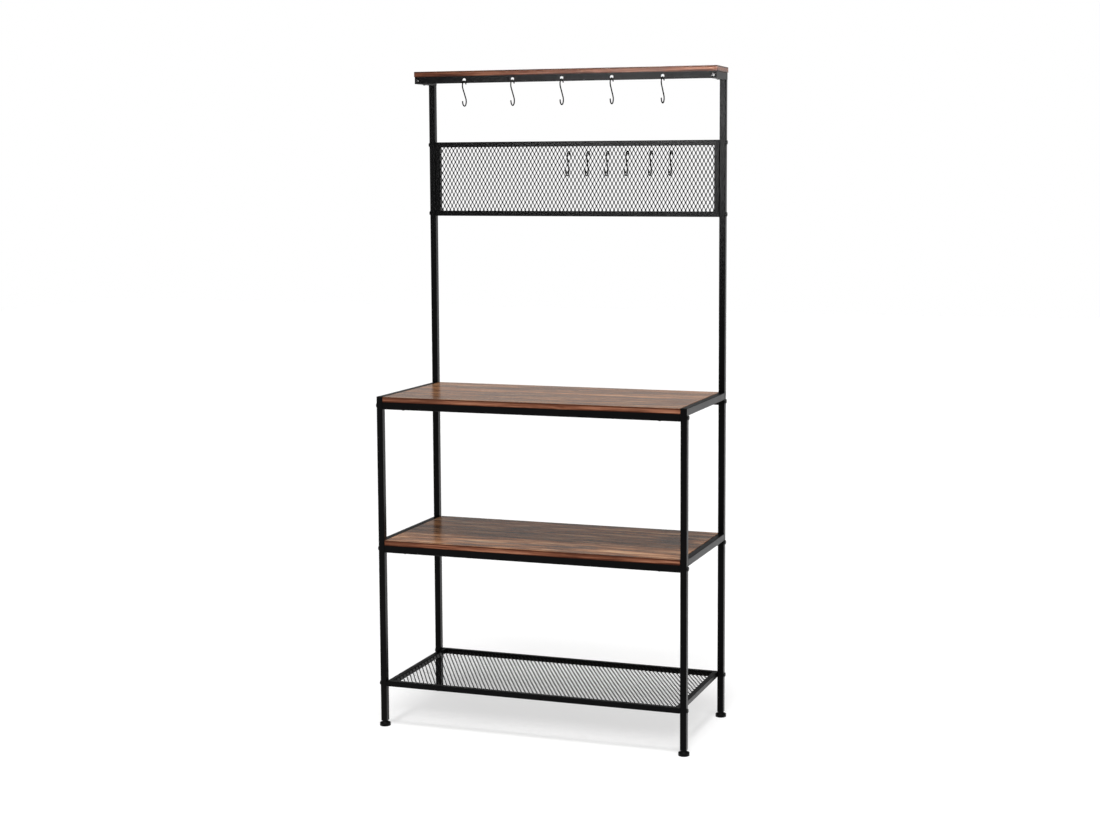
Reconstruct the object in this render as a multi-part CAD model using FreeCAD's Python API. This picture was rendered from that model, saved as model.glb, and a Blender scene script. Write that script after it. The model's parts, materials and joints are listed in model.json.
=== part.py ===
import FreeCAD
import Part
import math
import os

# Bakers rack, all sizes in millimetres. X runs to the right, Y to the back and Z up. The origin is on the
# floor, midway between the legs both ways. The steel frame is square tube: two side ladders, cross rails
# bolted between them, two posts above the back legs with arms that reach forward, and two framed sheets of
# expanded metal. Three boards lie on the rails. S hooks hang from the top rail and from the upper sheet.

vector = FreeCAD.Vector
along_x = vector(1, 0, 0)
along_y = vector(0, 1, 0)
along_z = vector(0, 0, 1)

# Overall size
rack_width = 900.0            # across the outer faces of the legs
rack_depth = 400.0            # front face of the front legs to back face of the back legs
rack_height = 1850.0          # floor to the top of the top board
counter_height = 940.0        # floor to the top of the counter board
middle_height = 535.0         # floor to the top of the middle board
mesh_shelf_height = 131.0     # floor to the top of the mesh shelf's frame
leg_joint_rise = 45.0         # counter top up to the joint between back leg and upper post
panel_drop = 200.0            # rack top down to the top of the mesh panel's frame
panel_height = 215.0          # mesh panel's frame from bottom to top

# Steel tube
tube = 18.0                   # legs, posts, and the width of rails and arms
rail_height = 20.0            # rails and arms stand a little taller than they are wide
tube_wall = 1.2
tube_radius = 2.0             # round outer corners of the legs and posts
rail_bevel = 1.2              # narrower outer corners of rails, arms and mesh frames
frame_bar = 15.0              # square tube round each mesh sheet

# Boards
board_thickness = 15.0
board_end_gap = 1.0           # between a board's end and the side rail beside it
board_edge = 0.8              # worn edge round the top of each board
top_board_depth = 115.0
top_board_overhang = 2.0      # past the outer face of each post

# Hook rail, an angle under the front of the top board
angle_thickness = 1.5
angle_flange = 18.0           # depth of the flange that the top board lies on
hook_hole = 10.0
hook_hole_drop = 11.0         # from the top of the angle to the centre of each hook hole
hook_hole_pitch = 148.0
hook_hole_count = 5

# Expanded metal
mesh_pitch_x = 11.8           # from one diamond to the next, across the rack
mesh_pitch_long = 21.3        # from one diamond to the next, along the diamond
mesh_strand = 2.0             # width of a strand
mesh_layer = 0.8              # thickness of a strand
mesh_depth = 2.5              # from the top or front of a mesh frame to the middle of its sheet
smallest_strand = 6.0         # shorter scraps at the corners fall away when the sheet is cut

# S hooks of round wire
wire = 3.0
wire_sides = 6                # flats round the wire, few because there are eleven hooks
loop_bends = 8                # short straight runs round each loop
loop_radius = 13.5            # to the middle of the wire
loop_spacing = 44.0           # between the middles of the two loops
upper_turn = 67.0             # degrees from the top of the upper loop to its tip
lower_turn = 87.0             # degrees from the bottom of the lower loop to its tip
hook_gap = 0.5                # between the wire and what it hangs on
hang_back = 2.3               # from the upper loop's middle back to the sheet, where a hook balances
mesh_hook_start = -14.3       # X of the first hook on the mesh panel
mesh_hook_steps = (0, 5, 10, 15, 21, 26)   # diamonds from the first mesh hook to each one
mesh_hook_row = 1             # diamonds from the top of the sheet down to the hooks

# Feet
foot_height = 15.5
foot_radius = 15.5
foot_rim = 8.5                # straight rim at the floor
foot_flare = 4.0              # height of the cone from rim to neck
foot_neck = 8.5               # radius under the leg
foot_stud = 4.0               # radius
foot_stud_length = 22.0
foot_gap = 0.4                # between a foot and the plug that it screws into
foot_sides = 12               # flats round a foot

# Plastic plugs and caps
plug_flange = 1.5
plug_length = 15.0
cap_length = 12.0
fit_gap = 0.1                 # between a plug and the tube round it

# Sleeves inside the joint between back legs and posts
sleeve_length = 100.0

# Bolts, and the threaded inserts that they screw into
bolt_radius = 3.0
bolt_reach = 10.0             # of the shank past the tube, into the insert
bolt_head_radius = 6.2
bolt_face_radius = 3.8        # flat outer face of the domed head
bolt_head_height = 3.8
bolt_hole_gap = 0.5           # between shank and hole
thread_gap = 0.1              # between shank and insert, and between screw and board
shank_sides = 6               # flats round hidden shanks and the holes that they go through
head_sides = 12               # flats round bolt heads
insert_length = 14.0

# Screws that hold the boards down
screw_radius = 2.0
screw_head_radius = 4.0
screw_head_height = 2.0
screw_reach = 10.0            # into the board
screw_hole_gap = 0.4
screw_inset = 60.0            # from the end of a rail to its screw
arm_screw_inset = 45.0        # from the front of an arm to its screw

# Places that follow from those sizes
half_width = rack_width / 2
half_depth = rack_depth / 2
inner_x = half_width - tube
leg_x = half_width - tube / 2
leg_y = half_depth - tube / 2
inner_y = half_depth - tube
leg_joint_height = counter_height + leg_joint_rise
arm_top = rack_height - board_thickness
arm_bottom = arm_top - rail_height
top_front = half_depth - top_board_depth
arm_front = top_front + angle_thickness
panel_front = half_depth - tube
panel_middle = panel_front + frame_bar / 2
panel_top_height = rack_height - panel_drop
panel_bottom_height = panel_top_height - panel_height
shelf_middle = mesh_shelf_height - frame_bar / 2
sheet_rise = frame_bar / 2 - mesh_depth
panel_sheet = panel_front + mesh_depth
leg_bottom = foot_height + plug_flange
hole_height = arm_top - hook_hole_drop

sides = (("left", -1), ("right", 1))
ends = (("front", -1), ("back", 1))
levels = (("counter", counter_height), ("middle", middle_height))

os.makedirs("parts", exist_ok=True)


def export(name, solids):
    """Write one piece, or one group of like pieces, as its own STEP file."""
    shape = solids[0] if len(solids) == 1 else Part.Compound(solids)
    shape.exportStep("parts/" + name + ".step")


def box_between(low, high):
    """Box with two opposite corners at low and high."""
    size = high.sub(low)
    return Part.makeBox(size.x, size.y, size.z, low)


def edges_along(solid, direction):
    """Straight edges of a solid that run along a direction."""
    found = []
    for edge in solid.Edges:
        run = edge.Vertexes[-1].Point.sub(edge.Vertexes[0].Point)
        if run.cross(direction).Length < 0.001 * run.Length:
            found.append(edge)
    return found


def hollow(outside, low, high, direction):
    """Tube made from a solid that fills the box from low to high, open at both ends of the direction."""
    walls = vector(1, 1, 1).sub(direction).multiply(tube_wall)
    return outside.cut(box_between(low.add(walls), high.sub(walls)))


def round_tube(low, high, direction):
    """Tube with round outer corners."""
    outside = box_between(low, high)
    outside = outside.makeFillet(tube_radius, edges_along(outside, direction))
    return hollow(outside, low, high, direction)


def bevelled_box(low, high, direction):
    """Box with a bevel on the edges along one direction."""
    outside = box_between(low, high)
    return outside.makeChamfer(rail_bevel, edges_along(outside, direction))


def bevelled_tube(low, high, direction):
    """Tube with bevelled outer corners."""
    return hollow(bevelled_box(low, high, direction), low, high, direction)


def ring_at(middle, direction, radius, count):
    """Closed wire with its corners on a circle round the direction."""
    corners = []
    for number in range(count + 1):
        turn = 2 * math.pi * number / count
        corners.append(vector(radius * math.cos(turn), radius * math.sin(turn), 0))
    ring = Part.makePolygon(corners)
    ring.Placement = FreeCAD.Placement(middle, FreeCAD.Rotation(along_z, direction))
    return ring


def bar_along(start, direction, length, radius, count=shank_sides):
    """Straight bar with flats round it, for shanks, studs and the holes that they go through."""
    return Part.Face(ring_at(start, direction, radius, count)).extrude(direction * length)


def taper_along(start, direction, length, radius, end_radius, count):
    """Bar with flats round it that narrows from one radius to another."""
    rings = [ring_at(start, direction, radius, count),
             ring_at(start.add(direction * length), direction, end_radius, count)]
    near, far = [[corner.Point for corner in ring.Vertexes] for ring in rings]
    faces = [Part.Face(ring) for ring in rings]
    for number in range(count):
        flat = [near[number - 1], near[number], far[number], far[number - 1], near[number - 1]]
        faces.append(Part.Face(Part.makePolygon(flat)))
    return Part.Solid(Part.Shell(faces))


def bolt_at(seat, direction, length):
    """Domed bolt with its head on the seat and its shank pointing along the direction."""
    head = taper_along(seat, direction * -1, bolt_head_height,
                       bolt_head_radius, bolt_face_radius, head_sides)
    return head.fuse(bar_along(seat, direction, length, bolt_radius))


def bolt_hole_at(seat, direction, length):
    """Clearance hole for a bolt, from its seat inwards."""
    return bar_along(seat, direction, length, bolt_radius + bolt_hole_gap)


def insert_in(low, high, direction):
    """Threaded block that fills a tube's end, bored along the direction."""
    gaps = vector(1, 1, 1).sub(direction).multiply(tube_wall + fit_gap)
    block = box_between(low.add(gaps), high.sub(gaps))
    middle = low.add(high).multiply(0.5)
    start = middle.sub(direction * insert_length)
    return block.cut(bar_along(start, direction, 2 * insert_length, bolt_radius + thread_gap))


def screw_at(seat, grip):
    """Screw that points up, with its head under the seat and its shank through what it grips."""
    head = bar_along(seat.sub(along_z * screw_head_height), along_z, screw_head_height, screw_head_radius)
    return head.fuse(bar_along(seat, along_z, grip + screw_reach, screw_radius))


def screw_hole_at(seat, depth):
    """Hole for a screw's shank, up from its seat."""
    return bar_along(seat, along_z, depth, screw_radius + screw_hole_gap)


# Legs. The front legs end at the counter under plastic caps. The back legs stop a little above it, where
# the upper posts stand on them.

def rail_bolt_seat(end_sign, side_sign, height):
    """Where the bolt of a cross rail lies on the outer face of a leg."""
    return vector(side_sign * half_width, end_sign * leg_y, height - board_thickness - rail_height / 2)


def shelf_bolt_seat(end_sign, side_sign):
    """Where the bolt of the mesh shelf lies on the outer face of a leg."""
    return vector(side_sign * half_width, end_sign * (half_depth - frame_bar / 2), shelf_middle)


def leg(end_sign, side_sign, top):
    middle = vector(side_sign * leg_x, end_sign * leg_y, 0)
    half = vector(tube / 2, tube / 2, 0)
    solid = round_tube(middle.sub(half).add(along_z * leg_bottom),
                       middle.add(half).add(along_z * top), along_z)
    seats = [rail_bolt_seat(end_sign, side_sign, height) for level, height in levels]
    seats.append(shelf_bolt_seat(end_sign, side_sign))
    return solid.cut([bolt_hole_at(seat, along_x * -side_sign, tube) for seat in seats])


for side, side_sign in sides:
    export(side + "_front_leg", [leg(-1, side_sign, counter_height - plug_flange)])
    export(side + "_back_leg", [leg(1, side_sign, leg_joint_height)])


# Caps on the front legs, plugs in the leg bottoms and caps in the back ends of the arms.

def leg_cap(side_sign):
    middle = vector(side_sign * leg_x, -leg_y, counter_height)
    rim = vector(tube / 2, tube / 2, 0)
    body = vector(tube / 2 - tube_wall - fit_gap, tube / 2 - tube_wall - fit_gap, 0)
    flange = bevelled_box(middle.sub(rim).sub(along_z * plug_flange), middle.add(rim), along_z)
    return flange.fuse(box_between(middle.sub(body).sub(along_z * cap_length), middle.add(body)))


def leg_plug(end_sign, side_sign):
    middle = vector(side_sign * leg_x, end_sign * leg_y, foot_height)
    rim = vector(tube / 2, tube / 2, 0)
    body = vector(tube / 2 - tube_wall - fit_gap, tube / 2 - tube_wall - fit_gap, 0)
    flange = bevelled_box(middle.sub(rim), middle.add(rim).add(along_z * plug_flange), along_z)
    plug = flange.fuse(box_between(middle.sub(body), middle.add(body).add(along_z * plug_length)))
    return plug.cut(bar_along(middle, along_z, plug_length, foot_stud + foot_gap))


def arm_cap(side_sign):
    middle = vector(side_sign * leg_x, half_depth, arm_top - rail_height / 2)
    rim = vector(tube / 2, 0, rail_height / 2)
    inset = tube_wall + fit_gap
    body = vector(tube / 2 - inset, 0, rail_height / 2 - inset)
    flange = bevelled_box(middle.sub(rim).sub(along_y * plug_flange), middle.add(rim), along_y)
    return flange.fuse(box_between(middle.sub(body).sub(along_y * cap_length), middle.add(body)))


export("front_leg_caps", [leg_cap(side_sign) for side, side_sign in sides])
export("leg_bottom_plugs", [leg_plug(end_sign, side_sign)
                            for end, end_sign in ends for side, side_sign in sides])
export("arm_end_caps", [arm_cap(side_sign) for side, side_sign in sides])


# Feet. Each is a thick disc that narrows to a neck, on a stud that screws into the plug above it.

def foot(end_sign, side_sign):
    middle = vector(side_sign * leg_x, end_sign * leg_y, 0)
    shoulder = foot_height - foot_gap
    rim = bar_along(middle, along_z, foot_rim, foot_radius, foot_sides)
    flare = taper_along(middle.add(along_z * foot_rim), along_z, foot_flare,
                        foot_radius, foot_neck, foot_sides)
    flare_top = foot_rim + foot_flare
    neck = bar_along(middle.add(along_z * flare_top), along_z, shoulder - flare_top, foot_neck, foot_sides)
    stud = bar_along(middle.add(along_z * shoulder), along_z, foot_stud_length, foot_stud)
    return rim.fuse([flare, neck, stud])


for end, end_sign in ends:
    for side, side_sign in sides:
        export(side + "_" + end + "_foot", [foot(end_sign, side_sign)])


# Side rails, welded between the front and back legs, level with the boards.

def side_rail(side_sign, height):
    outer = vector(side_sign * leg_x, 0, height - rail_height / 2)
    half = vector(tube / 2, inner_y, rail_height / 2)
    return bevelled_tube(outer.sub(half), outer.add(half), along_y)


for level, height in levels:
    for side, side_sign in sides:
        export(side + "_" + level + "_side_rail", [side_rail(side_sign, height)])


# Cross rails under the boards, bolted between the legs through inserts in their ends.

def rail_screw_places(height):
    """Seats of the screws under both cross rails of one board."""
    places = []
    for end, end_sign in ends:
        for side, side_sign in sides:
            places.append(vector(side_sign * (inner_x - screw_inset), end_sign * leg_y,
                                 height - board_thickness - rail_height))
    return places


def cross_rail(end_sign, height):
    middle = vector(0, end_sign * leg_y, height - board_thickness - rail_height / 2)
    half = vector(inner_x, tube / 2, rail_height / 2)
    solid = bevelled_tube(middle.sub(half), middle.add(half), along_x)
    seats = [seat for seat in rail_screw_places(height) if seat.y * end_sign > 0]
    return solid.cut([screw_hole_at(seat, rail_height) for seat in seats])


def rail_insert(end_sign, side_sign, height):
    middle = vector(side_sign * (inner_x - insert_length / 2), end_sign * leg_y,
                    height - board_thickness - rail_height / 2)
    half = vector(insert_length / 2, tube / 2, rail_height / 2)
    return insert_in(middle.sub(half), middle.add(half), along_x)


inserts = []
bolts = []
for level, height in levels:
    for end, end_sign in ends:
        export(level + "_" + end + "_rail", [cross_rail(end_sign, height)])
        for side, side_sign in sides:
            inserts.append(rail_insert(end_sign, side_sign, height))
            bolts.append(bolt_at(rail_bolt_seat(end_sign, side_sign, height),
                                 along_x * -side_sign, tube + bolt_reach))
export("rail_end_inserts", inserts)
export("rail_bolts", bolts)


# Counter board and middle board. They lie on the cross rails between the side rails, their tops level with
# the side rails, and screws hold them from below, through the rails.

def worn_board(low, high, screws):
    """Board with its top edges eased and a blind hole over each screw."""
    solid = box_between(low, high)
    upper = [edge for edge in solid.Edges if edge.CenterOfMass.z > high.z - 0.001]
    solid = solid.makeChamfer(board_edge, upper)
    holes = []
    for seat in screws:
        start = vector(seat.x, seat.y, low.z)
        holes.append(bar_along(start, along_z, screw_reach + thread_gap, screw_radius + thread_gap))
    return solid.cut(holes)


for level, height in levels:
    places = rail_screw_places(height)
    half = vector(inner_x - board_end_gap, half_depth, 0)
    board = worn_board(vector(0, 0, height - board_thickness).sub(half),
                       vector(0, 0, height).add(half), places)
    export(level + "_board", [board])
    export(level + "_board_screws", [screw_at(seat, rail_height) for seat in places])


# Upper posts and the sleeves that join them to the back legs.

def panel_bolt_seats(side_sign):
    """Where the bolts of the mesh panel lie on the outer face of a post."""
    heights = (panel_bottom_height + frame_bar / 2, panel_top_height - frame_bar / 2)
    return [vector(side_sign * half_width, panel_middle, height) for height in heights]


def upper_post(side_sign):
    middle = vector(side_sign * leg_x, leg_y, 0)
    half = vector(tube / 2, tube / 2, 0)
    solid = round_tube(middle.sub(half).add(along_z * leg_joint_height),
                       middle.add(half).add(along_z * arm_bottom), along_z)
    inward = along_x * -side_sign
    return solid.cut([bolt_hole_at(seat, inward, tube) for seat in panel_bolt_seats(side_sign)])


def post_sleeve(side_sign):
    middle = vector(side_sign * leg_x, leg_y, leg_joint_height)
    inset = tube_wall + fit_gap
    outer = vector(tube / 2 - inset, tube / 2 - inset, sleeve_length / 2)
    inner = outer.sub(vector(tube_wall, tube_wall, 0))
    outside = box_between(middle.sub(outer), middle.add(outer))
    return outside.cut(box_between(middle.sub(inner), middle.add(inner)))


for side, side_sign in sides:
    export(side + "_upper_post", [upper_post(side_sign)])
export("post_sleeves", [post_sleeve(side_sign) for side, side_sign in sides])


# Top arms, welded on the posts. Inserts in their front ends take the bolts of the hook rail.

def arm_screw_place(side_sign):
    """Seat of the screw under an arm."""
    return vector(side_sign * leg_x, arm_front + arm_screw_inset, arm_bottom)


def top_arm(side_sign):
    half = vector(tube / 2, 0, 0)
    low = vector(side_sign * leg_x, arm_front, arm_bottom).sub(half)
    high = vector(side_sign * leg_x, half_depth - plug_flange, arm_top).add(half)
    solid = bevelled_tube(low, high, along_y)
    return solid.cut(screw_hole_at(arm_screw_place(side_sign), rail_height))


def arm_insert(side_sign):
    half = vector(tube / 2, 0, 0)
    low = vector(side_sign * leg_x, arm_front, arm_bottom).sub(half)
    high = vector(side_sign * leg_x, arm_front + insert_length, arm_top).add(half)
    return insert_in(low, high, along_y)


for side, side_sign in sides:
    export(side + "_top_arm", [top_arm(side_sign)])
export("arm_front_inserts", [arm_insert(side_sign) for side, side_sign in sides])


# Hook rail: an angle bolted to the arm ends. Its upright flange covers them, and its top flange lies
# between them, under the board.

def flange_screw_places():
    """Seats of the screws under the top flange."""
    return [vector(side_sign * (inner_x - screw_inset), arm_front + angle_flange / 2,
                   arm_top - angle_thickness) for side, side_sign in sides]


def hook_rail():
    upright = box_between(vector(-half_width, top_front, arm_bottom),
                          vector(half_width, arm_front, arm_top))
    flange = box_between(vector(-inner_x, top_front, arm_top - angle_thickness),
                         vector(inner_x, arm_front + angle_flange, arm_top))
    solid = upright.fuse(flange).removeSplitter()
    holes = []
    for number in range(hook_hole_count):
        place = (number - (hook_hole_count - 1) / 2) * hook_hole_pitch
        start = vector(place, top_front - angle_thickness, hole_height)
        holes.append(Part.makeCylinder(hook_hole / 2, 3 * angle_thickness, start, along_y))
    for side, side_sign in sides:
        seat = vector(side_sign * leg_x, top_front, arm_top - rail_height / 2)
        holes.append(bolt_hole_at(seat, along_y, 2 * angle_thickness))
    holes += [screw_hole_at(seat, angle_thickness) for seat in flange_screw_places()]
    return solid.cut(holes)


export("hook_rail", [hook_rail()])
export("hook_rail_bolts", [bolt_at(vector(side_sign * leg_x, top_front, arm_top - rail_height / 2),
                                   along_y, angle_thickness + bolt_reach) for side, side_sign in sides])


# Top board, on the arms and the top flange, with screws into it through both.

arm_screws = [arm_screw_place(side_sign) for side, side_sign in sides]
top_board = worn_board(vector(-half_width - top_board_overhang, top_front, arm_top),
                       vector(half_width + top_board_overhang, half_depth, rack_height),
                       arm_screws + flange_screw_places())
export("top_board", [top_board])
export("top_board_screws", [screw_at(seat, rail_height) for seat in arm_screws]
       + [screw_at(seat, angle_thickness) for seat in flange_screw_places()])


# Mesh frames: four mitred tubes round a sheet of expanded metal. Both are drawn lying flat, round the
# origin, and then put in place.

def mitred_bars(length):
    """Front, back, left and right bar of a flat frame that fills the width between the legs."""
    half = vector(inner_x, length / 2, frame_bar / 2)
    bars = {}
    for name, sign in ends:
        near = sign * half.y
        far = sign * (half.y - frame_bar)
        outline = [vector(-half.x, near, -half.z), vector(half.x, near, -half.z),
                   vector(half.x - frame_bar, far, -half.z), vector(-half.x + frame_bar, far, -half.z)]
        low = vector(-half.x, min(near, far), -half.z)
        high = vector(half.x, max(near, far), half.z)
        bars[name] = bevelled_tube(low, high, along_x).common(mitre(outline))
    for name, sign in sides:
        near = sign * half.x
        far = sign * (half.x - frame_bar)
        outline = [vector(near, -half.y, -half.z), vector(near, half.y, -half.z),
                   vector(far, half.y - frame_bar, -half.z), vector(far, -half.y + frame_bar, -half.z)]
        low = vector(min(near, far), -half.y, -half.z)
        high = vector(max(near, far), half.y, half.z)
        holes = []
        for end, end_sign in ends:
            seat = vector(near, end_sign * (half.y - frame_bar / 2), 0)
            holes.append(bolt_hole_at(seat, along_x * -sign, frame_bar / 2))
        bars[name] = bevelled_tube(low, high, along_y).common(mitre(outline)).cut(holes)
    return bars


def mitre(outline):
    """Block with the plan of one bar, its ends cut at 45 degrees."""
    return Part.Face(Part.makePolygon(outline + outline[:1])).extrude(along_z * frame_bar)


def corner_insert(entry, inward):
    """Threaded block just inside the outer wall of a side bar, behind the bolt's entry."""
    inset = tube_wall + fit_gap
    half = vector(insert_length / 2, frame_bar / 2 - inset, frame_bar / 2 - inset)
    middle = entry.add(inward * (inset + insert_length / 2))
    block = box_between(middle.sub(half), middle.add(half))
    return block.cut(bar_along(entry, inward, inset + insert_length, bolt_radius + thread_gap))


def expanded_sheet(length, start_x, start_y):
    """Sheet of diamonds that fills a frame. Strands cross in two layers, at start_x, start_y and at every
    pitch from there, and each ends on the inner face of the frame."""
    middle = along_z * sheet_rise
    half = vector(inner_x - frame_bar, length / 2 - frame_bar, mesh_layer)
    opening = box_between(middle.sub(half), middle.add(half))
    lean = mesh_pitch_x / mesh_pitch_long
    reach = half.x + half.y * lean + abs(start_y) * lean
    count = math.ceil(reach / mesh_pitch_x)
    run = 2 * (half.y + mesh_pitch_long) * math.hypot(1, lean)
    strands = []
    for layer, lean_sign in ((sheet_rise - mesh_layer, 1), (sheet_rise, -1)):
        for number in range(-count, count + 1):
            crossing = vector(start_x % mesh_pitch_x + number * mesh_pitch_x, start_y, 0)
            at_middle = crossing.sub(vector(lean_sign * lean * start_y, start_y, 0))
            strand = Part.makeBox(mesh_strand, run, mesh_layer, vector(-mesh_strand / 2, -run / 2, layer))
            strand.rotate(vector(0, 0, 0), along_z, -lean_sign * math.degrees(math.atan(lean)))
            strand.translate(at_middle)
            strands += strand.common(opening).Solids
    return [strand for strand in strands if strand.Volume > smallest_strand * mesh_strand * mesh_layer]


# Mesh shelf, bolted between the legs near the floor.

def on_shelf(shape):
    shape.translate(along_z * shelf_middle)
    return shape


for name, bar in mitred_bars(rack_depth).items():
    export("shelf_" + name + "_bar", [on_shelf(bar)])
export("shelf_mesh", [on_shelf(strand) for strand in expanded_sheet(rack_depth, 0, 0)])


# Mesh panel, bolted between the posts. Its flat frame is stood up so that its front bar becomes the
# bottom one and its back bar the top one.

def on_panel(shape):
    shape.rotate(vector(0, 0, 0), along_x, 90)
    shape.translate(vector(0, panel_middle, (panel_bottom_height + panel_top_height) / 2))
    return shape


sheet_top = panel_top_height - frame_bar
hook_crossing = sheet_top - mesh_hook_row * mesh_pitch_long
panel_names = {"front": "bottom", "back": "top", "left": "left", "right": "right"}
for name, bar in mitred_bars(panel_height).items():
    export("panel_" + panel_names[name] + "_bar", [on_panel(bar)])
panel_strands = expanded_sheet(panel_height, mesh_hook_start, panel_height / 2 - frame_bar)
export("panel_mesh", [on_panel(strand) for strand in panel_strands])


# Inserts and bolts of both mesh frames.

inserts = []
shelf_bolts = []
panel_bolts = []
for side, side_sign in sides:
    inward = along_x * -side_sign
    for end, end_sign in ends:
        seat = shelf_bolt_seat(end_sign, side_sign)
        inserts.append(corner_insert(seat.add(inward * tube), inward))
        shelf_bolts.append(bolt_at(seat, inward, tube + bolt_reach))
    for seat in panel_bolt_seats(side_sign):
        inserts.append(corner_insert(seat.add(inward * tube), inward))
        panel_bolts.append(bolt_at(seat, inward, tube + bolt_reach))
export("mesh_frame_inserts", inserts)
export("shelf_bolts", shelf_bolts)
export("panel_bolts", panel_bolts)


# S hooks. Two arcs of wire and the straight stem between them, tangent to both, drawn round the middle of
# the upper loop. The stem starts in front, crosses to the back and the lower loop comes forward again.

def loop_points(middle, start, end):
    """Bends of the wire round one loop, from one angle to another in degrees."""
    points = []
    for number in range(loop_bends + 1):
        turn = math.radians(start + (end - start) * number / loop_bends)
        points.append(middle.add(vector(0, loop_radius * math.cos(turn), loop_radius * math.sin(turn))))
    return points


def s_hook():
    crossing = math.degrees(math.asin(2 * loop_radius / loop_spacing))
    upper = loop_points(vector(0, 0, 0), 90 - upper_turn, 180 + crossing)
    lower = loop_points(along_z * -loop_spacing, crossing, -90 - lower_turn)
    first_run = upper[1].sub(upper[0]).normalize()
    section = ring_at(upper[0], first_run, wire / 2, wire_sides)
    return Part.makePolygon(upper + lower).makePipeShell([section], True, False, 1)


# Hooks in the rail: each upper loop goes through a hole and hangs on its lower edge.

rail_hook_height = hole_height - hook_hole / 2 + hook_gap - (loop_radius - wire / 2)
for number in range(hook_hole_count):
    hook = s_hook()
    place = (number - (hook_hole_count - 1) / 2) * hook_hole_pitch
    hook.translate(vector(place, (top_front + arm_front) / 2, rail_hook_height))
    export("rail_hook_" + str(number + 1), [hook])


# Hooks on the mesh panel: each upper loop goes through a diamond and sits in its lower corner, and the
# lower loop leans on the front of the sheet, which tilts the hook.

corner_angle = math.atan(mesh_pitch_x / mesh_pitch_long)
wire_height = hook_crossing + (mesh_strand / 2 + wire / 2 + hook_gap) / math.sin(corner_angle)
mesh_hook_height = wire_height - math.sqrt(loop_radius ** 2 - hang_back ** 2)
lean_reach = loop_radius + wire / 2 + hook_gap + mesh_layer - hang_back
mesh_hook_tilt = math.degrees(math.asin(lean_reach / loop_spacing))
for number, step in enumerate(mesh_hook_steps):
    hook = s_hook()
    hook.rotate(vector(0, 0, 0), along_x, -mesh_hook_tilt)
    place = mesh_hook_start + step * mesh_pitch_x
    hook.translate(vector(place, panel_sheet - hang_back, mesh_hook_height))
    export("mesh_hook_" + str(number + 1), [hook])
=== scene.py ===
import json
import math

import bpy
from mathutils import Matrix, Vector


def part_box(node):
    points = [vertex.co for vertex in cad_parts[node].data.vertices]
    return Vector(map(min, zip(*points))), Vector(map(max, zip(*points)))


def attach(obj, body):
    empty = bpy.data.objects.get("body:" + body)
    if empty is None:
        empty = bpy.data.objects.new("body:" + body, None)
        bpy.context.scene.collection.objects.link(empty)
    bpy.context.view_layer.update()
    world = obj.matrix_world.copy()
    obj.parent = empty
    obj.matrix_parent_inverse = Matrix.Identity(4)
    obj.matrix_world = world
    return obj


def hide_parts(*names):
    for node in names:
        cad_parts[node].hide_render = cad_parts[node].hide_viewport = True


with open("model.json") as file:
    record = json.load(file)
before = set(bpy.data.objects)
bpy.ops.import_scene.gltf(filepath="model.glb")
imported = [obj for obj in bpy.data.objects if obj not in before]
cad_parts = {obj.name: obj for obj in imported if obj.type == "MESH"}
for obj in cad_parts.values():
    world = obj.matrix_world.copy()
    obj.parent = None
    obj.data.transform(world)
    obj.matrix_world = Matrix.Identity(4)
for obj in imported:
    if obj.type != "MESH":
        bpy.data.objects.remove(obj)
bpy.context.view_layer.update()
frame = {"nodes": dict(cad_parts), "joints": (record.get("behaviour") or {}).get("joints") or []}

# The bakers rack as a whole: black steel tube, brown boards, two sheets of expanded metal, S hooks.
# Its imported solids are the frame that every piece below sits in, in metres.
scene = bpy.context.scene
scene.view_settings.view_transform = "Standard"


# Legs, posts, arms, rails and the bars round the two mesh sheets: square steel tube with a satin black
# powder coat, welded into two side ladders and bolted together. The coat has a fine orange peel, thins a
# little over rubbed places, and shows a dark line where each upper post stands on its back leg.
class Value:
    """Shader socket that takes part in sums, each of which adds a Math node."""

    def __init__(self, nodes, socket):
        self.nodes = nodes
        self.socket = socket

    def sum(self, operation, *terms):
        return self.nodes.node("ShaderNodeMath", {"operation": operation}, dict(enumerate(terms)))

    def __add__(self, other):
        return self.sum("ADD", self, other)

    def __sub__(self, other):
        return self.sum("SUBTRACT", self, other)

    def __mul__(self, other):
        return self.sum("MULTIPLY", self, other)

    def __truediv__(self, other):
        return self.sum("DIVIDE", self, other)

    def __rsub__(self, other):
        return self.sum("SUBTRACT", other, self)

    __radd__ = __add__
    __rmul__ = __mul__


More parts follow.
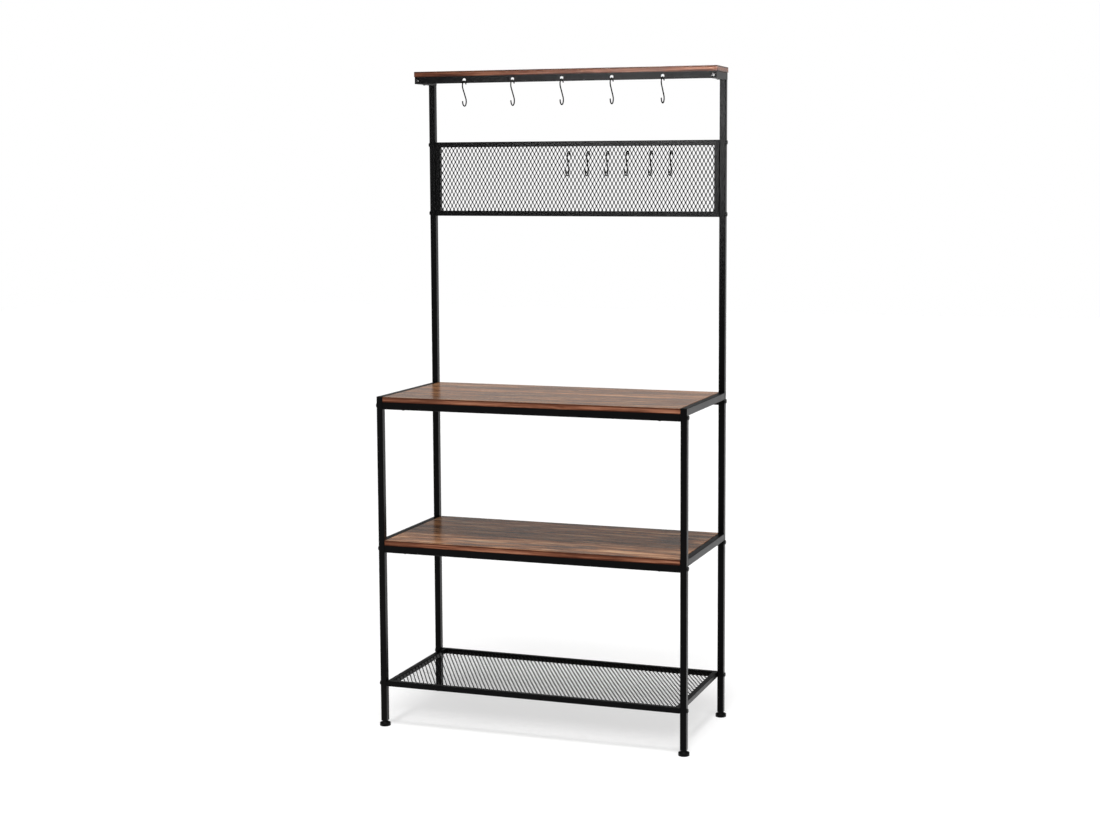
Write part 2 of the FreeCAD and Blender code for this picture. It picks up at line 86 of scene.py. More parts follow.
class Nodes:
    """Nodes of a finish or of the room."""

    def __init__(self, tree):
        self.tree = tree

    def node(self, kind, settings, inputs, output=0):
        """Adds a node, sets it, then gives its sockets their values or links."""
        made = self.tree.nodes.new(kind)
        for name, setting in settings.items():
            if name == "stops":
                self.set_stops(made.color_ramp, setting)
            else:
                setattr(made, name, setting)
        for name, value in inputs.items():
            self.join(value, made.inputs[name])
        return Value(self, made.outputs[output])

    def join(self, value, socket):
        if isinstance(value, Value):
            self.tree.links.new(value.socket, socket)
        else:
            socket.default_value = value

    def set_stops(self, ramp, stops):
        while len(ramp.elements) < len(stops):
            ramp.elements.new(0.5)
        for element, (place, colour) in zip(ramp.elements, stops):
            element.position = place
            element.color = colour

    def place(self, kind="Object"):
        return self.node("ShaderNodeTexCoord", {}, {}, kind)

    def stretched(self, place, stretch):
        return self.node("ShaderNodeVectorMath", {"operation": "MULTIPLY"}, {0: place, 1: stretch})

    def noise(self, place, scale=1.0, detail=3.0, roughness=0.5):
        return self.node("ShaderNodeTexNoise", {},
                         {"Vector": place, "Scale": scale, "Detail": detail, "Roughness": roughness})

    def axes(self, place):
        split = self.node("ShaderNodeSeparateXYZ", {}, {0: place})
        return [Value(self, output) for output in split.socket.node.outputs]

    def ramp(self, value, *stops):
        """Colour that follows a value through stops, each a place and a colour."""
        return self.node("ShaderNodeValToRGB", {"stops": stops}, {0: value})

    def between(self, value, low, high):
        """0 below low, 1 above high, and a smooth rise between."""
        return self.node("ShaderNodeMapRange", {"interpolation_type": "SMOOTHSTEP"},
                         {0: value, 1: low, 2: high})

    def blend(self, share, first, second, way="MIX"):
        """Colour that goes from the first to the second as the share goes from 0 to 1."""
        return self.node("ShaderNodeMix", {"data_type": "RGBA", "blend_type": way},
                         {0: share, 6: first, 7: second}, 2)


class Finish(Nodes):
    """Material of one finish. What its shader has all over is given at the start."""

    def __init__(self, name, **constant):
        self.material = bpy.data.materials.new(name)
        self.material.use_nodes = True
        super().__init__(self.material.node_tree)
        self.shader = self.tree.nodes["Principled BSDF"]
        for socket, value in constant.items():
            self.shader.inputs[socket.replace("_", " ")].default_value = value

    def vary(self, socket, value):
        self.join(value, self.shader.inputs[socket])

    def bump(self, height, depth):
        self.vary("Normal", self.node("ShaderNodeBump", {}, {"Height": height, "Distance": depth}))


def grey(level):
    return (level, level, level, 1.0)


def coat(cad_node, finish):
    """Gives a solid its finish."""
    for surface in frame["nodes"][cad_node].material_slots:
        surface.material = finish.material


dark_coat = (0.0022, 0.0022, 0.0025, 1)
pale_coat = (0.0034, 0.0033, 0.0034, 1)
joint_black = grey(0.001)
back_leg_top = 0.985

powder = Finish("powder_coat", Specular_Tint=grey(0.08))
place = powder.place()
peel = powder.noise(place, scale=1100.0, detail=2.0)
patches = powder.noise(place, scale=14.0, detail=4.0)
from_joint = powder.node("ShaderNodeMath", {"operation": "ABSOLUTE"},
                         {0: powder.axes(place)[2] - back_leg_top})
joint = 1.0 - powder.between(from_joint, 0.0004, 0.0012)
colour = powder.ramp(patches, (0.3, dark_coat), (0.7, pale_coat))
powder.vary("Base Color", powder.blend(joint, colour, joint_black))
powder.vary("Roughness", 0.31 + patches * 0.10 + peel * 0.04)
powder.bump(peel * 0.3 - joint * 4.0, depth=0.0001)

tubes = [side + piece for side in ("left_", "right_") for piece in (
    "front_leg", "back_leg", "counter_side_rail", "middle_side_rail", "upper_post", "top_arm")]
tubes += [level + end + "_rail" for level in ("counter_", "middle_") for end in ("front", "back")]
tubes += ["panel_" + side + "_bar" for side in ("bottom", "top", "left", "right")]
tubes += ["shelf_" + side + "_bar" for side in ("front", "back", "left", "right")]
tubes += ["hook_rail"]
for tube in tubes:
    coat(tube, powder)


# Plastic caps on the front legs and in the backs of the arms, and the threaded plugs in the leg bottoms:
# black nylon, moulded, pushed into the tubes.
plastic = Finish("black_plastic", Specular_Tint=grey(0.12))
place = plastic.place()
grain = plastic.noise(place, scale=700.0)
plastic.vary("Base Color", plastic.ramp(grain, (0.3, grey(0.0025)), (0.7, grey(0.0045))))
plastic.vary("Roughness", 0.38 + grain * 0.2)
plastic.bump(grain, depth=0.00004)
for piece in ("front_leg_caps", "leg_bottom_plugs", "arm_end_caps"):
    coat(piece, plastic)


# Sleeves in the joints of the back posts, and threaded inserts in the ends of rails, arms and mesh frames:
# zinc-plated steel, pushed into the tubes.
dull_zinc = (0.42, 0.43, 0.45, 1)
bright_zinc = (0.56, 0.57, 0.58, 1)

zinc = Finish("zinc_steel", Metallic=1.0)
place = zinc.place()
spangle = zinc.noise(place, scale=260.0)
zinc.vary("Base Color", zinc.ramp(spangle, (0.3, dull_zinc), (0.7, bright_zinc)))
zinc.vary("Roughness", 0.3 + spangle * 0.2)
zinc.bump(spangle, depth=0.00003)
for piece in ("post_sleeves", "rail_end_inserts", "mesh_frame_inserts", "arm_front_inserts"):
    coat(piece, zinc)


# Counter, middle and top board: particle board with a satin rustic wood face, screwed down from below. The
# print runs along the board in tan and brown streaks, with grey weathered patches and fine grain. The bands
# on its edges are a redder brown, with painted shade darkening them along the top and in their lower part.
face_browns = ((0.28, (0.088, 0.039, 0.021, 1)), (0.42, (0.228, 0.101, 0.047, 1)),
               (0.51, (0.368, 0.176, 0.085, 1)), (0.60, (0.535, 0.288, 0.152, 1)),
               (0.72, (0.740, 0.500, 0.310, 1)))
plank_tints = ((0.0, grey(0.6)), (1.0, (1.4, 1.3, 1.2, 1)))
weathered_grey = (0.085, 0.072, 0.066, 1)
ring_brown = (0.060, 0.026, 0.015, 1)
pore_brown = (0.040, 0.020, 0.012, 1)
seam_brown = (0.030, 0.016, 0.011, 1)
edge_browns = ((0.28, (0.074, 0.022, 0.012, 1)), (0.46, (0.205, 0.072, 0.038, 1)),
               (0.60, (0.375, 0.150, 0.084, 1)), (0.74, (0.520, 0.250, 0.150, 1)))
stained_edge = (0.06, 0.018, 0.009, 1)
# Colour of the painted shade on the edge bands, along their top and over their lower part.
edge_shade_brown = (0.035, 0.007, 0.004, 1)
plank_width = 0.0785


def board_finish(name, cad_node, shift, contrast, weathering):
    """Wood of one board. The shift gives it a part of the print of its own."""
    wood = Finish(name, Specular_Tint=grey(0.1))
    place = wood.place()
    moved = wood.node("ShaderNodeVectorMath", {"operation": "ADD"}, {0: place, 1: shift})
    bend = wood.noise(wood.stretched(moved, (2.6, 11.0, 11.0)))
    wavy = wood.node("ShaderNodeVectorMath", {"operation": "MULTIPLY_ADD"},
                     {0: bend, 1: (0.0, 0.035, 0.012), 2: moved})
    streaks = wood.noise(wood.stretched(wavy, (4.6, 40.0, 120.0)), detail=5.0, roughness=0.62)
    grain = wood.noise(wood.stretched(wavy, (8.0, 210.0, 400.0)), detail=5.0, roughness=0.6)
    pores = wood.noise(wood.stretched(wavy, (30.0, 1100.0, 1300.0)), detail=3.0, roughness=0.6)
    weather = wood.noise(wood.stretched(moved, (4.2, 15.0, 17.0)), detail=5.0, roughness=0.6)
    figure = wood.noise(wood.stretched(wavy, (2.4, 22.0, 22.0)), detail=2.0, roughness=0.45)
    rings = wood.node("ShaderNodeMath", {"operation": "PINGPONG"}, {0: figure * 16.0 + grain * 0.6, 1: 0.5})
    across = wood.axes(moved)[1] / plank_width
    plank = wood.node("ShaderNodeMath", {"operation": "FLOOR"}, {0: across})
    tint = wood.node("ShaderNodeTexWhiteNoise", {"noise_dimensions": "1D"}, {"W": plank}, "Value")
    seam = wood.node("ShaderNodeMath", {"operation": "PINGPONG"}, {0: across, 1: 0.5})

    face = wood.ramp(streaks * contrast + grain * 0.4 + (0.3 - contrast / 2), *face_browns)
    face = wood.blend(0.45, face, wood.ramp(tint, *plank_tints), "MULTIPLY")
    face = wood.blend(wood.between(weather, 0.48, 0.66) * weathering, face, weathered_grey)
    face = wood.blend((1.0 - wood.between(rings, 0.02, 0.20)) * 0.35, face, ring_brown)
    face = wood.blend(wood.between(pores, 0.45, 0.70) * 0.4, face, pore_brown)
    face = wood.blend((1.0 - wood.between(seam, 0.004, 0.018)) * 0.4, face, seam_brown)

    edge = wood.ramp(streaks + grain * 0.5 - 0.25, *edge_browns)
    edge = wood.blend(wood.between(weather, 0.52, 0.7) * 0.4, edge, stained_edge)
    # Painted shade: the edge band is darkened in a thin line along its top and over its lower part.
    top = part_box(cad_node)[1].z
    height = wood.axes(place)[2] + streaks * 0.006 + grain * 0.002
    upper_edge_shade = wood.between(height, top - 0.0008, top + 0.0012)
    lower_edge_shade = 1.0 - wood.between(height, top - 0.0098, top - 0.0082)
    edge = wood.blend((upper_edge_shade + lower_edge_shade) * 0.8, edge, edge_shade_brown)

    level = wood.node("ShaderNodeMath", {"operation": "ABSOLUTE"}, {0: wood.axes(wood.place("Normal"))[2]})
    wood.vary("Base Color", wood.blend(1.0 - wood.between(level, 0.4, 0.8), face, edge))
    wood.vary("Roughness", 0.17 + grain * 0.10 + pores * 0.06)
    wood.bump(grain * 0.6 + pores * 0.4, depth=0.0001)
    return wood


coat("counter_board", board_finish("rustic_counter", "counter_board", shift=(0.0, 0.0, 0.0),
                                   contrast=0.7, weathering=0.4))
coat("middle_board", board_finish("rustic_middle", "middle_board", shift=(3.1, 0.37, 0.0),
                                  contrast=1.15, weathering=0.7))
coat("top_board", board_finish("rustic_top", "top_board", shift=(7.7, 0.9, 0.0),
                               contrast=1.0, weathering=0.5))


# Mesh shelf and mesh panel: sheets of raised expanded steel, slit and stretched into diamonds, each strand
# turned a little out of the sheet, cut to the opening of their frame, welded in and coated with it.
mesh_coat = Finish("mesh_coat", Specular_IOR_Level=0.04)
place = mesh_coat.place()
peel = mesh_coat.noise(place, scale=1500.0, detail=2.0)
mesh_coat.vary("Base Color", mesh_coat.ramp(peel, (0.3, grey(0.002)), (0.7, grey(0.0035))))
mesh_coat.vary("Roughness", 0.42 + peel * 0.1)
mesh_coat.bump(peel, depth=0.00003)


def work_on(piece):
    """Selects just this piece, for the operators that follow."""
    bpy.ops.object.select_all(action="DESELECT")
    piece.select_set(True)
    bpy.context.view_layer.objects.active = piece


def pick(kind, test):
    """In edit mode, selects just the vertices or polygons whose middle passes a test."""
    bpy.ops.mesh.select_mode(type="VERT" if kind == "vertices" else "FACE")
    bpy.ops.mesh.select_all(action="DESELECT")
    bpy.ops.object.mode_set(mode="OBJECT")
    for part in getattr(bpy.context.object.data, kind):
        part.select = test(part.co if kind == "vertices" else part.center)
    bpy.ops.object.mode_set(mode="EDIT")


def settle(piece):
    """Applies the modifiers, place and turn to the mesh, so that the object sits at the origin."""
    work_on(piece)
    for modifier in list(piece.modifiers):
        bpy.ops.object.modifier_apply(modifier=modifier.name)
    bpy.ops.object.transform_apply(location=True, rotation=True, scale=True)


def dress(piece, finish, body, slot, *cad_nodes):
    """Gives a finished piece its finish, its body and the solids that it stands for."""
    piece.data.materials.clear()
    piece.data.materials.append(finish.material)
    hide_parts(*cad_nodes)
    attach(piece, body)


diamond = Vector((0.0118, 0.0213, 0.0))
strand_width = 0.0023
strand_thickness = 0.0007
strand_rise = 0.0004
side_knuckle = 0.0020
end_knuckle = 0.0005
near_axis = 0.0001
corner_merge = 0.00015
knuckle_merge = 0.0002


def expanded_sheet(name, length, start):
    """Flat sheet round the origin, as long in Y as given, with strands that cross at start."""
    reach = Vector((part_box("shelf_mesh")[1].x, length / 2, 0))

    # One diamond, as a ring of strand halves with broad knuckles at its sides and narrow ones at its ends.
    # Its inner corners lie nearer its middle than inner, and its outer ones farther out.
    inner = diamond * 0.47
    bpy.ops.object.select_all(action="DESELECT")
    bpy.ops.mesh.primitive_circle_add(vertices=4, radius=0.5, fill_type="NGON")
    sheet = bpy.context.object
    sheet.name = name
    bpy.ops.object.mode_set(mode="EDIT")
    bpy.ops.mesh.select_mode(type="FACE")
    bpy.ops.mesh.select_all(action="SELECT")
    bpy.ops.transform.resize(value=(diamond.x, diamond.y, 1))
    bpy.ops.mesh.inset(thickness=strand_width / 2)
    pick("vertices", lambda co: abs(co.y) < near_axis and abs(co.x) < inner.x)
    bpy.ops.mesh.bevel(offset=side_knuckle, affect="VERTICES", segments=1)
    pick("vertices", lambda co: abs(co.x) < near_axis and abs(co.y) < inner.y)
    bpy.ops.mesh.bevel(offset=end_knuckle, affect="VERTICES", segments=1)
    pick("polygons", lambda co: co.length < 2 * near_axis)
    bpy.ops.mesh.delete(type="FACE")
    bpy.ops.mesh.select_all(action="SELECT")
    bpy.ops.mesh.remove_doubles(threshold=corner_merge)

    # Its strands are turned out of the sheet: one side of the hole goes up and the other down.
    for sign in (-1, 1):
        pick("vertices", lambda co: near_axis < -sign * co.x < inner.x * 0.97)
        bpy.ops.transform.translate(value=(0, 0, sign * strand_rise))

    # A second diamond fills the gaps between the first's copies, and both are repeated over the sheet.
    bpy.ops.mesh.select_all(action="SELECT")
    bpy.ops.mesh.duplicate_move(TRANSFORM_OT_translate={"value": diamond / 2})
    columns = 2 * math.ceil(reach.x / diamond.x) + 3
    rows = 2 * math.ceil(reach.y / diamond.y) + 3
    bpy.ops.mesh.select_all(action="SELECT")
    corner = Vector((start[0] % diamond.x, start[1] % diamond.y, 0))
    corner -= Vector((diamond.x * (columns // 2), diamond.y * (rows // 2 + 0.5), 0))
    bpy.ops.transform.translate(value=corner)
    bpy.ops.object.mode_set(mode="OBJECT")
    for count, step in ((columns, (diamond.x, 0, 0)), (rows, (0, diamond.y, 0))):
        repeat = sheet.modifiers.new("repeat", "ARRAY")
        repeat.count = count
        repeat.use_relative_offset = False
        repeat.use_constant_offset = True
        repeat.constant_offset_displace = step
    settle(sheet)

    # The copies are joined at their knuckles, cut to the opening and given the metal's thickness.
    bpy.ops.object.mode_set(mode="EDIT")
    bpy.ops.mesh.select_all(action="SELECT")
    bpy.ops.mesh.remove_doubles(threshold=knuckle_merge)
    for cut in (Vector((reach.x, 0, 0)), Vector((0, reach.y, 0))):
        for sign in (-1, 1):
            bpy.ops.mesh.select_all(action="SELECT")
            bpy.ops.mesh.bisect(plane_co=cut * sign, plane_no=cut * sign, clear_outer=True)
    bpy.ops.object.mode_set(mode="OBJECT")
    wall = sheet.modifiers.new("wall", "SOLIDIFY")
    wall.thickness = strand_thickness
    wall.offset = 0.0
    settle(sheet)
    return sheet


low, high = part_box("shelf_mesh")
shelf_sheet = expanded_sheet("shelf_expanded_sheet", high.y - low.y, (0.0, 0.0))
shelf_sheet.location = (low + high) / 2
settle(shelf_sheet)
dress(shelf_sheet, mesh_coat, "frame", "mesh_coat", "shelf_mesh")

panel_crossing = -0.0143
low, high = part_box("panel_mesh")
panel_sheet = expanded_sheet("panel_expanded_sheet", high.z - low.z, (panel_crossing, (high.z - low.z) / 2))
panel_sheet.rotation_euler = (math.radians(90), 0, 0)
panel_sheet.location = (low + high) / 2
settle(panel_sheet)
dress(panel_sheet, mesh_coat, "frame", "mesh_coat", "panel_mesh")


# S hooks: round steel wire with a black coat, bent into two loops with a straight stem between them and
# rounded tips. Five hang in the holes of the hook rail and six in the mesh panel, and all swing freely.
hook_coat = Finish("hook_wire", Specular_IOR_Level=0.02)
place = hook_coat.place()
grain = hook_coat.noise(place, scale=900.0, detail=2.0)
hook_coat.vary("Base Color", hook_coat.ramp(grain, (0.3, grey(0.002)), (0.7, grey(0.004))))
hook_coat.vary("Roughness", 0.40 + grain * 0.12)
hook_coat.bump(grain, depth=0.00003)

wire_radius = 0.0018
wire_sides = 12
loop_radius = 0.0135
loop_spacing = 0.044
crossing = math.asin(2 * loop_radius / loop_spacing)
upper_start = math.radians(23)
upper_end = math.pi + crossing
upper_steps = 22
lower_end = math.radians(-177)
lower_steps = 24
tip_rings = ((0.0006, 0.88), (0.0004, 0.72), (0.0002, 0.45))
panel_hook_lean = math.radians(18.55)


def on_loop(turn, height=0.0):
    """Point on the middle line of a loop whose middle lies at this height."""
    return Vector((0, loop_radius * math.cos(turn), loop_radius * math.sin(turn) + height))


def round_tip(middle, direction):
    """Closes the open end of the wire that lies round a point with a rounded tip."""
    pick("vertices", lambda co: (co - middle).length < wire_radius * 1.05)
    for run, size in tip_rings:
        middle = middle + direction * run
        bpy.ops.mesh.extrude_region_move(TRANSFORM_OT_translate={"value": direction * run})
        bpy.ops.transform.resize(value=(size, size, size), center_override=middle)
    bpy.ops.mesh.edge_face_add()


bpy.ops.object.select_all(action="DESELECT")
bpy.ops.mesh.primitive_circle_add(vertices=wire_sides, radius=wire_radius, location=on_loop(upper_start),
                                  rotation=(upper_start, 0, 0))
hook = bpy.context.object
hook.name = "s_hook"
settle(hook)
bpy.ops.object.mode_set(mode="EDIT")
bpy.ops.mesh.select_all(action="SELECT")
bpy.ops.mesh.spin(steps=upper_steps, angle=upper_end - upper_start, center=(0, 0, 0), axis=(-1, 0, 0))
stem = on_loop(crossing, -loop_spacing) - on_loop(upper_end)
bpy.ops.mesh.extrude_region_move(TRANSFORM_OT_translate={"value": stem})
bpy.ops.mesh.spin(steps=lower_steps, angle=crossing - lower_end, center=(0, 0, -loop_spacing), axis=(1, 0, 0))
round_tip(on_loop(lower_end, -loop_spacing), Vector((0, math.sin(lower_end), -math.cos(lower_end))))
round_tip(on_loop(upper_start), Vector((0, math.sin(upper_start), -math.cos(upper_start))))
bpy.ops.mesh.select_all(action="SELECT")
bpy.ops.mesh.normals_make_consistent(inside=False)
bpy.ops.object.mode_set(mode="OBJECT")
bpy.ops.object.shade_smooth_by_angle(angle=math.radians(50))


def hang(row, number, turn):
    """One more hook, in the place of the solid of its row and number."""
    node = row + "_hook_" + str(number)
    joint = next(joint for joint in frame["joints"] if joint["child"] == node)
    work_on(hook)
    bpy.ops.object.duplicate()
    copy = bpy.context.object
    copy.name = row + "_hook_wire_" + str(number)
    copy.rotation_euler = (turn, 0, 0)
    copy.location = joint["pos_m"]
    settle(copy)
    dress(copy, hook_coat, node, "hook_wire", node)


for number in range(1, 6):
    hang("rail", number, 0.0)
for number in range(1, 7):
    hang("mesh", number, -panel_hook_lean)
bpy.data.objects.remove(hook)


# Feet: thick discs of black nylon with a cone up to a short neck, moulded round a steel stud, which screws
# into the plug in the leg.
def turned(name, sides, profile):
    """Round piece on the Z axis, from pairs of height and radius."""
    height, radius = profile[0]
    bpy.ops.object.select_all(action="DESELECT")
    bpy.ops.mesh.primitive_circle_add(vertices=sides, radius=radius, fill_type="NGON",
                                      location=(0, 0, height))
    piece = bpy.context.object
    piece.name = name
    settle(piece)
    bpy.ops.object.mode_set(mode="EDIT")
    bpy.ops.mesh.select_all(action="SELECT")
    for next_height, next_radius in profile[1:]:
        bpy.ops.mesh.extrude_region_move(TRANSFORM_OT_translate={"value": (0, 0, next_height - height)})
        size = next_radius / radius
        bpy.ops.transform.resize(value=(size, size, 1), center_override=(0, 0, next_height))
        height, radius = next_height, next_radius
    bpy.ops.mesh.select_all(action="SELECT")
    bpy.ops.mesh.normals_make_consistent(inside=False)
    bpy.ops.object.mode_set(mode="OBJECT")
    bpy.ops.object.shade_smooth_by_angle(angle=math.radians(35))
    return piece


disc = ((0.0, 0.0143), (0.0003, 0.0150), (0.0009, 0.0154), (0.0079, 0.0154), (0.0086, 0.0151))
cone_and_neck = ((0.0092, 0.0142), (0.0121, 0.0091), (0.0127, 0.0085), (0.0134, 0.0084), (0.0151, 0.0084))
stud = ((0.0151, 0.0037), (0.0365, 0.0037), (0.0371, 0.0032))
foot = turned("foot", 40, disc + cone_and_neck + stud)
for end in ("front", "back"):
    for side in ("left", "right"):
        node = side + "_" + end + "_foot"
        low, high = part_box(node)
        work_on(foot)
        bpy.ops.object.duplicate()
        copy = bpy.context.object
        copy.name = side + "_" + end + "_levelling_foot"
        copy.location = ((low.x + high.x) / 2, (low.y + high.y) / 2, low.z)
        settle(copy)
        dress(copy, plastic, node, "black_plastic", node)
bpy.data.objects.remove(foot)


# Bolts: button heads with a hexagon socket, plated steel, through the legs and posts into the inserts of
# the rails and mesh frames, and through the hook rail into the arms.
plated = Finish("bolt_steel", Metallic=1.0)
place = plated.place()
brushed = plated.noise(place, scale=800.0)
plated.vary("Base Color", plated.ramp(brushed, (0.3, grey(0.020)), (0.7, grey(0.032))))
plated.vary("Roughness", 0.20 + brushed * 0.16)
plated.bump(brushed, depth=0.00002)

shank_radius = 0.0030
button_head = ((0.0, 0.0059), (0.0004, 0.0062), (0.0022, 0.0062), (0.0029, 0.0059),
               (0.0033, 0.0054), (0.0035, 0.0047), (0.0036, 0.0028))
socket_radius = 0.0024
socket_height = 0.005
socket_middle = 0.0042


def button_bolt(name, reach):
    """Bolt on the Z axis, with its head seated at 0 and a shank that reaches down."""
    shank = ((-reach, 0.0027), (0.0007 - reach, shank_radius), (0.0, shank_radius))
    bolt = turned(name, 24, shank + button_head)
    bpy.ops.object.select_all(action="DESELECT")
    bpy.ops.mesh.primitive_cylinder_add(vertices=6, radius=socket_radius, depth=socket_height,
                                        location=(0, 0, socket_middle))
    socket = bpy.context.object
    work_on(bolt)
    cut = bolt.modifiers.new("socket", "BOOLEAN")
    cut.object = socket
    bpy.ops.object.modifier_apply(modifier=cut.name)
    bpy.data.objects.remove(socket)
    return bolt


def place_fasteners(name, node, places):
    """Copies of bolts or screws, each with its seat and turn, joined as one group."""
    copies = []
    for pattern, seat, turn in places:
        work_on(pattern)
        bpy.ops.object.duplicate()
        copy = bpy.context.object
        copy.location = seat
        copy.rotation_euler = turn
        copies.append(copy)
    work_on(copies[0])
    for copy in copies:
        copy.select_set(True)
    bpy.ops.object.join()
    copies[0].name = name
    settle(copies[0])
    dress(copies[0], plated, "frame", "bolt_steel", node)


def middle_of(node):
    low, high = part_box(node)
    return (low + high) / 2


outer_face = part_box("right_front_leg")[1].x
sideways = {-1: (0, math.radians(-90), 0), 1: (0, math.radians(90), 0)}
forwards = (math.radians(90), 0, 0)
long_bolt = button_bolt("long_bolt", reach=0.028)
rails = [middle_of(level + end + "_rail") for level in ("counter_", "middle_") for end in ("front", "back")]
shelf_bars = [middle_of("shelf_front_bar"), middle_of("shelf_back_bar")]
panel_bars = [middle_of("panel_bottom_bar"), middle_of("panel_top_bar")]
for name, node, bars in (("rail_button_bolts", "rail_bolts", rails),
                         ("shelf_button_bolts", "shelf_bolts", shelf_bars),
                         ("panel_button_bolts", "panel_bolts", panel_bars)):
    place_fasteners(name, node, [(long_bolt, (sign * outer_face, bar.y, bar.z), sideways[sign])
                                 for bar in bars for sign in (-1, 1)])
short_bolt = button_bolt("short_bolt", reach=0.0115)
rail_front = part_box("hook_rail")[0].y
arm = middle_of("right_top_arm")
place_fasteners("hook_rail_button_bolts", "hook_rail_bolts",
                [(short_bolt, (sign * arm.x, rail_front, arm.z), forwards) for sign in (-1, 1)])
bpy.data.objects.remove(long_bolt)
bpy.data.objects.remove(short_bolt)


# Board screws: dark pan-head screws with a crossed recess, driven up through the rails, the arms and the
# flange of the hook rail into the undersides of the boards.
screw_head = 0.004
screw_head_height = 0.002
pan_head = ((-screw_head_height, 0.0025), (-0.0018, 0.0031), (-0.0013, 0.0036), (-0.0006, 0.0039),
            (0.0, 0.0039))
thread_radius = 0.0017
point_radius = 0.0003
point_length = 0.004
blade = 0.0009
flange_thickness = 0.0015
upright = (0, 0, 0)


def pan_screw(name, reach):
    """Screw on the Z axis, with its head under 0 and a point that reaches up."""
    thread = ((0.0, thread_radius), (reach - point_length, thread_radius), (reach, point_radius))
    screw = turned(name, 20, pan_head + thread)
    for turn in (45, 135):
        bpy.ops.object.select_all(action="DESELECT")
        bpy.ops.mesh.primitive_cube_add(size=1.0, location=(0, 0, -screw_head_height),
                                        rotation=(0, 0, math.radians(turn)))
        bar = bpy.context.object
        bar.scale = (screw_head, blade, 2 * blade)
        work_on(screw)
        cut = screw.modifiers.new("recess", "BOOLEAN")
        cut.object = bar
        bpy.ops.object.modifier_apply(modifier=cut.name)
        bpy.data.objects.remove(bar)
    return screw


def head_middles(node):
    """Box of a group of screws, drawn in to the middles of its outer heads, which are six-sided there."""
    low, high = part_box(node)
    half_head = Vector((screw_head, screw_head * math.cos(math.radians(30)), 0))
    return low + half_head, high - half_head


for level in ("counter_", "middle_"):
    node = level + "board_screws"
    low, high = head_middles(node)
    screw = pan_screw("rail_screw", reach=high.z - low.z - screw_head_height)
    place_fasteners(level + "pan_screws", node,
                    [(screw, (x, y, low.z + screw_head_height), upright)
                     for x in (low.x, high.x) for y in (low.y, high.y)])
    bpy.data.objects.remove(screw)

low, high = head_middles("top_board_screws")
arm_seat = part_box("right_top_arm")[0].z
flange_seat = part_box("top_board")[0].z - flange_thickness
arm_screw = pan_screw("arm_screw", reach=high.z - arm_seat)
flange_screw = pan_screw("flange_screw", reach=high.z - flange_seat)
flange_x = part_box("counter_board_screws")[1].x - screw_head
place_fasteners("top_pan_screws", "top_board_screws",
                [(arm_screw, (sign * high.x, high.y, arm_seat), upright) for sign in (-1, 1)]
                + [(flange_screw, (sign * flange_x, low.y, flange_seat), upright) for sign in (-1, 1)])
bpy.data.objects.remove(arm_screw)
bpy.data.objects.remove(flange_screw)


# Floor: a flat studio floor of pale matt paint, which runs on into a white backdrop. It glows where it is
# seen or mirrored, so that it looks white and still keeps the soft shadow of the rack.
floor_size = 24.0
floor_paint = grey(0.48)
floor_glow = 0.56

bpy.ops.object.select_all(action="DESELECT")
bpy.ops.mesh.primitive_plane_add(size=floor_size, location=(0, 4.0, 0))
floor = bpy.context.object
floor.name = "studio_floor"
settle(floor)
pale = Finish("studio_floor", Specular_IOR_Level=0.0, Roughness=0.9)
pale.vary("Base Color", floor_paint)
seen = pale.node("ShaderNodeLightPath", {}, {}, "Is Camera Ray")
mirrored = pale.node("ShaderNodeLightPath", {}, {}, "Is Glossy Ray")
glow = pale.node("ShaderNodeEmission", {}, {"Color": grey(1.0), "Strength": (seen + mirrored) * floor_glow})
both = pale.node("ShaderNodeAddShader", {}, {0: Value(pale, pale.shader.outputs[0]), 1: glow})
pale.join(both, pale.tree.nodes["Material Output"].inputs["Surface"])
floor.data.materials.append(pale.material)


# Light: a white room whose mirrored walls darken upwards, a soft lamp overhead, one at the right, and a
# narrow bright card in front, just under the top board, that shows only as a sheen on the hook rail's
# coat and bolts.
room_light = 0.42
mirrored_walls = ((0.0, grey(1.0)), (0.06, grey(0.75)), (0.12, grey(0.50)), (0.20, grey(0.24)),
                  (0.28, grey(0.05)), (1.0, grey(0.05)))

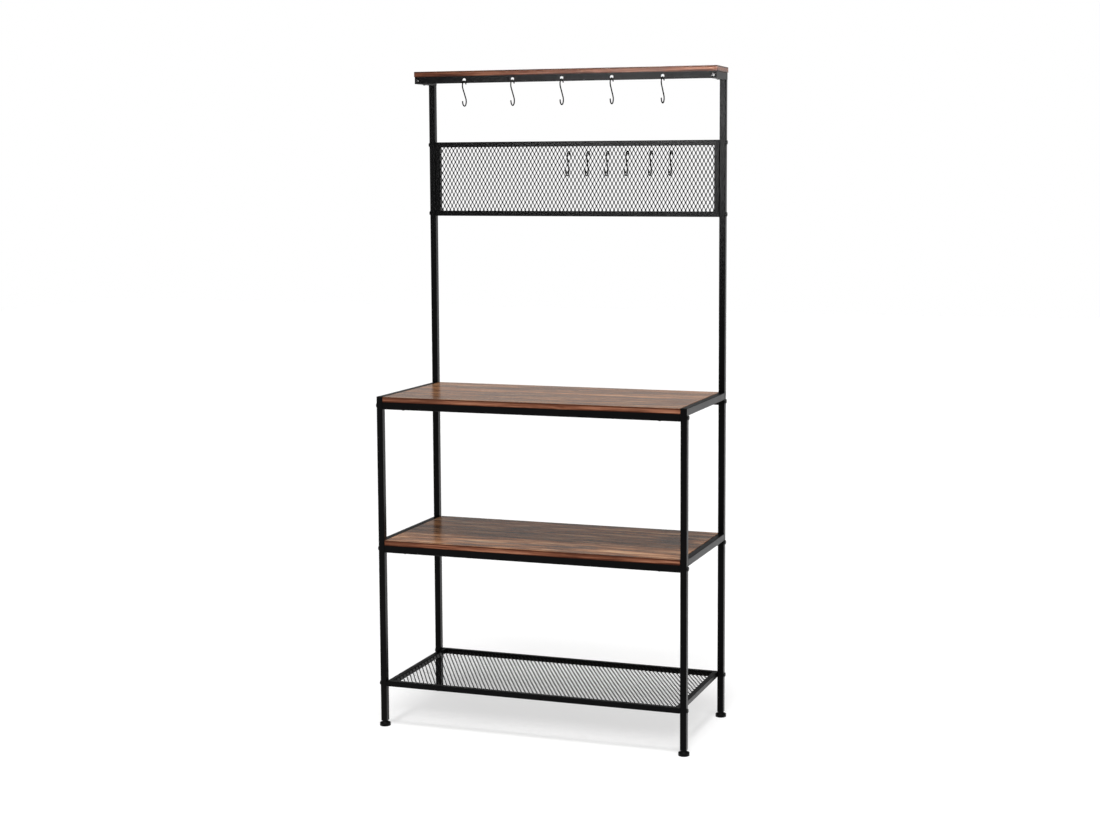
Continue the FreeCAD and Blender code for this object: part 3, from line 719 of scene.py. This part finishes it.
world = bpy.data.worlds.new("studio")
scene.world = world
world.use_nodes = True
room = Nodes(world.node_tree)
walls = room.ramp(room.axes(room.place("Generated"))[2], *mirrored_walls)
mirrored = room.node("ShaderNodeLightPath", {}, {}, "Is Glossy Ray")
strength = room.node("ShaderNodeMix", {}, {0: mirrored, 2: room_light, 3: walls})
seen = room.node("ShaderNodeLightPath", {}, {}, "Is Camera Ray")
seen_through = room.node("ShaderNodeLightPath", {}, {}, "Is Transmission Ray")
shown = room.node("ShaderNodeMath", {"operation": "MAXIMUM"}, {0: seen, 1: seen_through})
background = room.tree.nodes["Background"]
background.inputs["Color"].default_value = grey(1.0)
room.join(room.node("ShaderNodeMix", {}, {0: shown, 2: strength, 3: 1.0}), background.inputs["Strength"])


def soft_lamp(name, location, target, size, power, spread=180):
    """Rectangular lamp that faces its target and isn't seen itself. The spread is in degrees."""
    lamp = bpy.data.lights.new(name, "AREA")
    lamp.shape = "RECTANGLE"
    lamp.size, lamp.size_y = size
    lamp.energy = power
    lamp.spread = math.radians(spread)
    holder = bpy.data.objects.new(name, lamp)
    scene.collection.objects.link(holder)
    holder.location = location
    holder.rotation_euler = (Vector(target) - Vector(location)).to_track_quat("-Z", "Y").to_euler()
    holder.visible_camera = False
    return holder


soft_lamp("right_lamp", location=(1.6, -1.7, 2.1), target=(0.2, 0, 1.2), size=(2.0, 2.0), power=24.0)
card = soft_lamp("front_card", location=(-0.4, -2.6, 1.65), target=(0.2, 0, 1.84), size=(1.0, 0.36),
                 power=4.6, spread=25)
card.visible_diffuse = False
overhead = bpy.data.lights.new("overhead_lamp", "SUN")
overhead.energy = 2.0
overhead.angle = math.radians(15)
holder = bpy.data.objects.new("overhead_lamp", overhead)
scene.collection.objects.link(holder)
holder.rotation_euler = (math.radians(17), math.radians(3.8), 0)


# Camera: a long lens at eye height, in front of the rack and to its right, tipped slightly down and
# shifted a little. Its focal length and shifts are in pixels of the image, and its turns in radians.
image_width = 1100.0
sensor_width = 36.0
focal_length = 1845.37
side_shift = -50.0
upward_shift = -42.0
heading = 0.32798
downward_tip = 0.10313
roll = -0.00248

camera_data = bpy.data.cameras.new("camera")
camera_data.sensor_width = sensor_width
camera_data.lens = focal_length / image_width * sensor_width
camera_data.shift_x = side_shift / image_width
camera_data.shift_y = upward_shift / image_width
camera = bpy.data.objects.new("camera", camera_data)
scene.collection.objects.link(camera)
turn = (Matrix.Rotation(heading, 4, "Z") @ Matrix.Rotation(math.radians(90) - downward_tip, 4, "X")
        @ Matrix.Rotation(roll, 4, "Z"))
camera.matrix_world = Matrix.Translation((1.78521, -4.83309, 1.54170)) @ turn
scene.camera = camera
